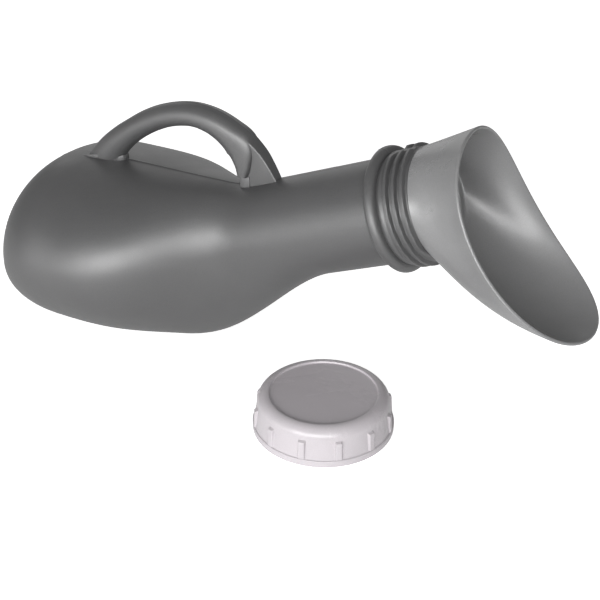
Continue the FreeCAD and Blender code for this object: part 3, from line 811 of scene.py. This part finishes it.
def plastic(name, color, dark, worn, rough, grain, grain_height, specular=0.5):
    """Moulded plastic: clouded colour, fine grain, faint flow waves, uneven gloss and rubbed edges."""
    material = bpy.data.materials.new(name)
    nodes = Nodes(material)
    place = nodes.add("TexCoord", output=3)
    cloud = nodes.add("TexNoise", Vector=place, Scale=22.0, Detail=4.0, Roughness=0.6)
    speck = nodes.add("TexNoise", Vector=place, Scale=grain, Detail=3.0, Roughness=0.7)
    wave = nodes.add("TexNoise", Vector=place, Scale=60.0, Detail=2.0, Roughness=0.5)
    smudge = nodes.add("TexNoise", Vector=place, Scale=9.0, Detail=5.0, Roughness=0.65, Distortion=1.2)
    tone = nodes.mix(nodes.ramp(cloud, ((0.32, 0), (0.7, 1))), (*dark, 1), (*color, 1))
    fleck = nodes.mix(nodes.ramp(speck, ((0.3, 0), (0.8, 0.35))), tone, (*worn, 1))
    pointiness = nodes.add("NewGeometry", output=7)
    edge = nodes.ramp(pointiness, ((0.535, 0), (0.62, 1)))
    rub = nodes.math("MULTIPLY", edge, nodes.ramp(wave, ((0.35, 0.35), (0.65, 1))))
    shade = nodes.mix(nodes.math("MULTIPLY", rub, 0.55), fleck, (*worn, 1))
    gloss = nodes.add("MapRange", Value=smudge, From_Min=0.3, From_Max=0.7,
                      To_Min=rough - 0.05, To_Max=rough + 0.06)
    gloss = nodes.math("ADD", gloss, nodes.math("MULTIPLY", speck, 0.06))
    bump = nodes.add("Bump", Strength=1.0, Distance=grain_height, Height=speck)
    bump = nodes.add("Bump", Strength=1.0, Distance=WAVE_HEIGHT, Height=wave, Normal=bump)
    shader = nodes.add("BsdfPrincipled", Base_Color=shade, Roughness=gloss, Normal=bump,
                       Specular_IOR_Level=specular)
    nodes.add("OutputMaterial", Surface=shader)
    return material


def finish_piece(thing, body, node, material):
    thing.data.materials.clear()
    thing.data.materials.append(material)
    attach(thing, body)
    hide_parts(node)


# ---- studio ------------------------------------------------------------------------------------------------

CAMERA_AZIMUTH = 28.9
CAMERA_ELEVATION = 29.96
CAMERA_FROM_LIP = np.array([167.0, -431.9, 213.0])
CAMERA_LENS = 66.0
FLOOR_REACH = 6000.0
# The floor's own light: what it casts on the bottle, and what the camera sees.
FLOOR_GLOW = 0.17
FLOOR_GLOW_SEEN = 0.75
# The sky's light on the bottle, from the horizon up.
SKY_LEVELS = ((0.0, 0.2), (0.12, 0.26), (0.4, 0.32), (1.0, 0.34))
WHITE = (1, 1, 1, 1)


def floor():
    material = bpy.data.materials.new("floor_card")
    nodes = Nodes(material)
    place = nodes.add("TexCoord", output=3)
    paper = nodes.add("TexNoise", Vector=place, Scale=300.0, Detail=3.0)
    color = nodes.mix(nodes.ramp(paper, ((0.3, 0), (0.7, 1))), (0.90, 0.90, 0.90, 1), (0.93, 0.93, 0.93, 1))
    glow = nodes.add("MapRange", Value=nodes.add("LightPath"), To_Min=FLOOR_GLOW, To_Max=FLOOR_GLOW_SEEN)
    shader = nodes.add("BsdfPrincipled", Base_Color=color, Roughness=0.9, Emission_Color=WHITE,
                       Emission_Strength=glow)
    nodes.add("OutputMaterial", Surface=shader)
    reach = FLOOR_REACH
    points = [(-reach, -reach, 0), (reach, -reach, 0), (reach, reach, 0), (-reach, reach, 0)]
    thing = mesh_object("floor", points, [(0, 1, 2, 3)])
    thing.data.materials.append(material)


def softbox(name, azimuth, elevation, distance, width, height, power):
    """A rectangular light that faces the bottle, placed as the camera is: degrees, metres and watts."""
    turn, climb = math.radians(azimuth), math.radians(elevation)
    target = Vector(((SHELL_LOW + SHELL_HIGH) / 2 * MM).tolist())
    back = Vector((math.sin(turn) * math.cos(climb), -math.cos(turn) * math.cos(climb), math.sin(climb)))
    light = bpy.data.lights.new(name, "AREA")
    light.shape = "RECTANGLE"
    light.size, light.size_y = width, height
    light.energy = power
    thing = bpy.data.objects.new(name, light)
    bpy.context.scene.collection.objects.link(thing)
    thing.location = target + back * distance
    thing.rotation_euler = (math.radians(90) - climb, 0, turn)


def world():
    """White all round for the camera; what lights the bottle is darker, most at the horizon."""
    studio = bpy.data.worlds.new("studio")
    bpy.context.scene.world = studio
    nodes = Nodes(studio)
    upwards = nodes.add("SeparateXYZ", output=2, Vector=nodes.add("TexCoord"))
    cast = nodes.add("Background", Color=nodes.ramp(upwards, SKY_LEVELS))
    seen = nodes.add("Background", Color=WHITE)
    both = nodes.add("MixShader", i0=nodes.add("LightPath"), i1=cast, i2=seen)
    nodes.add("OutputWorld", Surface=both)


def camera():
    lens = bpy.data.cameras.new("camera")
    lens.lens = CAMERA_LENS
    lens.clip_start = 0.01
    thing = bpy.data.objects.new("camera", lens)
    bpy.context.scene.collection.objects.link(thing)
    thing.location = Vector((LIP + CAMERA_FROM_LIP) * MM)
    thing.rotation_euler = (math.radians(90 - CAMERA_ELEVATION), 0, math.radians(CAMERA_AZIMUTH))
    bpy.context.scene.camera = thing


# ---- scene -------------------------------------------------------------------------------------------------

bottle_plastic = plastic(
    "bottle_plastic", color=(0.052, 0.052, 0.053), dark=(0.044, 0.044, 0.045), worn=(0.13, 0.13, 0.13),
    rough=0.41, grain=2600.0, grain_height=0.00004, specular=1.0)
adapter_plastic = plastic(
    "adapter_plastic", color=(0.165, 0.165, 0.167), dark=(0.145, 0.145, 0.147), worn=(0.33, 0.33, 0.33),
    rough=0.27, grain=3000.0, grain_height=0.00003, specular=0.8)
cap_plastic = plastic(
    "cap_plastic", color=(0.43, 0.4, 0.42), dark=(0.39, 0.365, 0.383), worn=(0.62, 0.6, 0.62),
    rough=0.24, grain=3200.0, grain_height=0.000015)
liner_foam = plastic(
    "liner_foam", color=(0.78, 0.78, 0.76), dark=(0.66, 0.66, 0.64), worn=(0.86, 0.86, 0.85),
    rough=0.7, grain=1500.0, grain_height=0.0001)

finish_piece(bottle(), "bottle", "bottle_shell", bottle_plastic)
finish_piece(adapter(), "adapter", "funnel_adapter", adapter_plastic)
finish_piece(cap(), "cap", "screw_cap", cap_plastic)
finish_piece(liner(), "liner", "cap_liner", liner_foam)

floor()
world()
softbox("key", azimuth=12, elevation=12, distance=1.35, width=1.8, height=0.56, power=25.0)
softbox("fill", azimuth=-42, elevation=11, distance=1.3, width=0.46, height=0.36, power=0.62)
softbox("low", azimuth=-29, elevation=-4, distance=0.5, width=0.22, height=0.05, power=0.14)
softbox("high", azimuth=46, elevation=32, distance=1.4, width=0.1, height=0.8, power=1.6)
softbox("back", azimuth=212, elevation=16, distance=1.6, width=1.4, height=0.7, power=2.5)
camera()
bpy.context.scene.view_settings.view_transform = "Standard"
